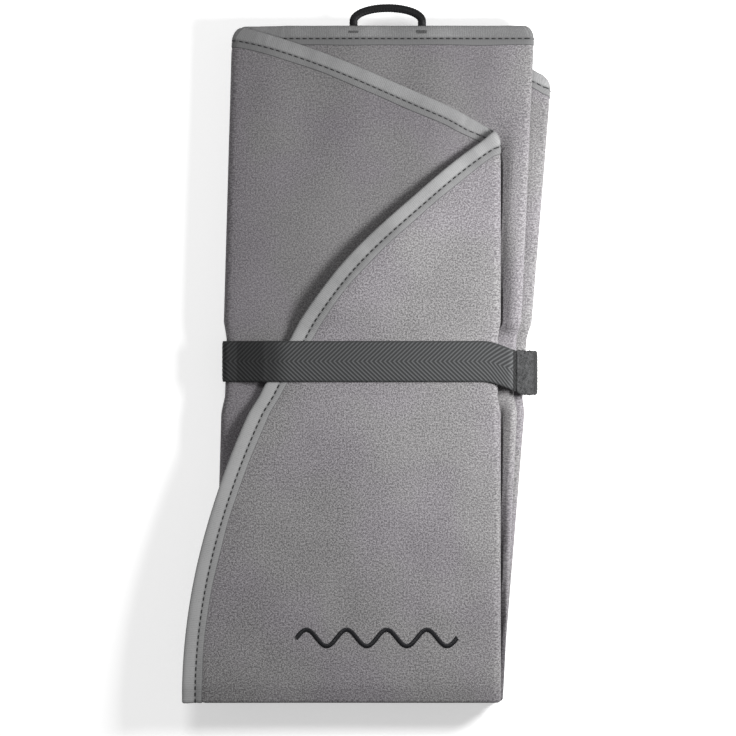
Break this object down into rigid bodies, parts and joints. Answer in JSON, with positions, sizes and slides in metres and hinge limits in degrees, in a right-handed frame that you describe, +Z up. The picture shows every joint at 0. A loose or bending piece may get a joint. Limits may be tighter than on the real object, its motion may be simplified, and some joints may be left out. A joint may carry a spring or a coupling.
{
  "type": "travel towel",
  "caption": "Quick dry towel folded into a flat bundle, with bound edges, a hang loop and a webbing strap that closes with a hook-and-loop tab.",
  "frame": {"origin": "under the middle of the folded bundle, on the surface that it lies on", "axes": "+Z up through the folded layers, +Y along the bundle towards the hang loop, +X towards the strap's tab"},
  "size_m": [0.2272, 0.4282, 0.0289],
  "materials": {
    "pile_cloth": "short brushed microfibre pile, matt with a soft sheen",
    "binding_tape": "smooth knitted tape, matt",
    "black_thread": "satin stitched rayon thread",
    "black_cord": "black woven tape cord",
    "grey_thread": "polyester sewing thread",
    "strap_webbing": "herringbone woven webbing, charcoal",
    "tab_fleece": "napped charcoal tab",
    "hook_fastener": "moulded hooks on tape",
    "loop_fastener": "knitted loops on tape"
  },
  "bodies": {
    "towel": {"towel_cloth": "pile_cloth", "edge_binding": "binding_tape", "wave_embroidery": "black_thread", "loop_bartack_left": "grey_thread", "loop_bartack_right": "grey_thread", "strap_back": "strap_webbing", "loop_patch": "loop_fastener"},
    "strap": {"strap_front": "strap_webbing"},
    "tab": {"tab_backing": "tab_fleece", "hook_patch": "hook_fastener"},
    "loop": {"hang_loop": "black_cord"}
  },
  "joints": [
    {"name": "strap_open", "type": "hinge", "parent": "towel", "child": "strap", "pos_m": [-0.08075, -0.0052, 0.02479], "axis": [0, -1, 0], "range_deg": [0, 150]},
    {"name": "tab_peel", "type": "hinge", "parent": "strap", "child": "tab", "pos_m": [0.09095, -0.0115, 0.0258], "axis": [0, -1, 0], "range_deg": [0, 100]},
    {"name": "loop_swing", "type": "hinge", "parent": "towel", "child": "loop", "pos_m": [0.0122, 0.20358, 0.01622], "axis": [1, 0, 0], "range_deg": [-90, 90]}
  ]
}
